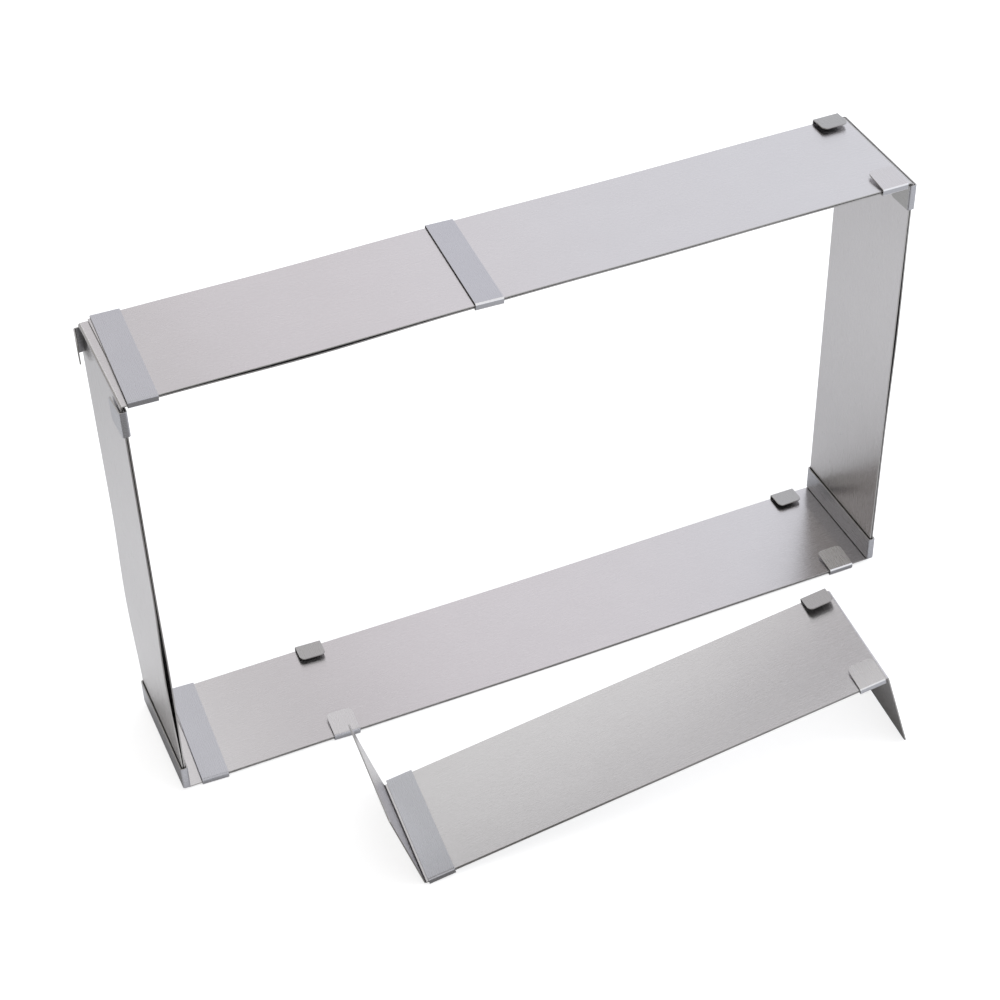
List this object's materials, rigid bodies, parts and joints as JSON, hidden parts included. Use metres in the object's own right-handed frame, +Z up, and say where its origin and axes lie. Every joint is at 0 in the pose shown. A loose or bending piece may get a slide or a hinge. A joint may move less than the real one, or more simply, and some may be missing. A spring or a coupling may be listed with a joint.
{
  "type": "adjustable cake frame",
  "caption": "Rectangular steel cake frame of nested L-shaped sheets that slide in folded end bands, opening in length and height, with a separate extending divider.",
  "frame": {"origin": "on the table, under the middle of the frame and its divider together", "axes": "+Z up, +X along the frame's long sides, +Y across the width of its sheets and away from the divider"},
  "size_m": [0.3042, 0.145, 0.1908],
  "materials": {
    "sheet_steel": "satin stainless sheet, fine grain along the sheet",
    "band_steel": "satin stainless strip, grain along the strip and so across the sheet"
  },
  "bodies": {
    "bottom_left": {"bottom_left_sheet": "sheet_steel", "bottom_left_outer_band": "band_steel", "bottom_left_inner_band": "band_steel"},
    "top_left": {"top_left_sheet": "sheet_steel", "top_left_outer_band": "band_steel", "top_left_inner_band": "band_steel"},
    "bottom_right": {"bottom_right_sheet": "sheet_steel", "bottom_right_outer_band": "band_steel", "bottom_right_inner_band": "band_steel"},
    "top_right": {"top_right_sheet": "sheet_steel", "top_right_outer_band": "band_steel", "top_right_inner_band": "band_steel"},
    "top_sleeve": {"top_sleeve": "band_steel"},
    "bottom_sleeve": {"bottom_sleeve": "band_steel"},
    "divider_left": {"divider_left_plate": "sheet_steel", "divider_left_band": "band_steel"},
    "divider_right": {"divider_right_plate": "sheet_steel", "divider_right_band": "band_steel"}
  },
  "joints": [
    {"name": "height_slide", "type": "slide", "parent": "bottom_left", "child": "top_left", "axis": [0, 0, 1], "range_m": [0, 0.162]},
    {"name": "width_slide", "type": "slide", "parent": "bottom_left", "child": "bottom_right", "axis": [1, 0, 0], "range_m": [0, 0.248]},
    {"name": "top_width_slide", "type": "slide", "parent": "top_left", "child": "top_right", "axis": [1, 0, 0], "range_m": [0, 0.248]},
    {"name": "top_sleeve_slide", "type": "slide", "parent": "top_left", "child": "top_sleeve", "axis": [1, 0, 0], "range_m": [0, 0.1424]},
    {"name": "bottom_sleeve_slide", "type": "slide", "parent": "bottom_left", "child": "bottom_sleeve", "axis": [1, 0, 0], "range_m": [0, 0.2065]},
    {"name": "divider_lift", "type": "slide", "parent": "bottom_left", "child": "divider_left", "axis": [0, 0, 1], "range_m": [0, 0.06]},
    {"name": "divider_slide", "type": "slide", "parent": "divider_left", "child": "divider_right", "axis": [0.9764, -0.0683, 0.2049], "range_m": [0, 0.163]}
  ],
  "couplings": [
    {"joint": "top_width_slide", "follows": "width_slide", "ratio": 1},
    {"joint": "top_sleeve_slide", "follows": "width_slide", "ratio": 0.574},
    {"joint": "bottom_sleeve_slide", "follows": "width_slide", "ratio": 0.8327}
  ]
}
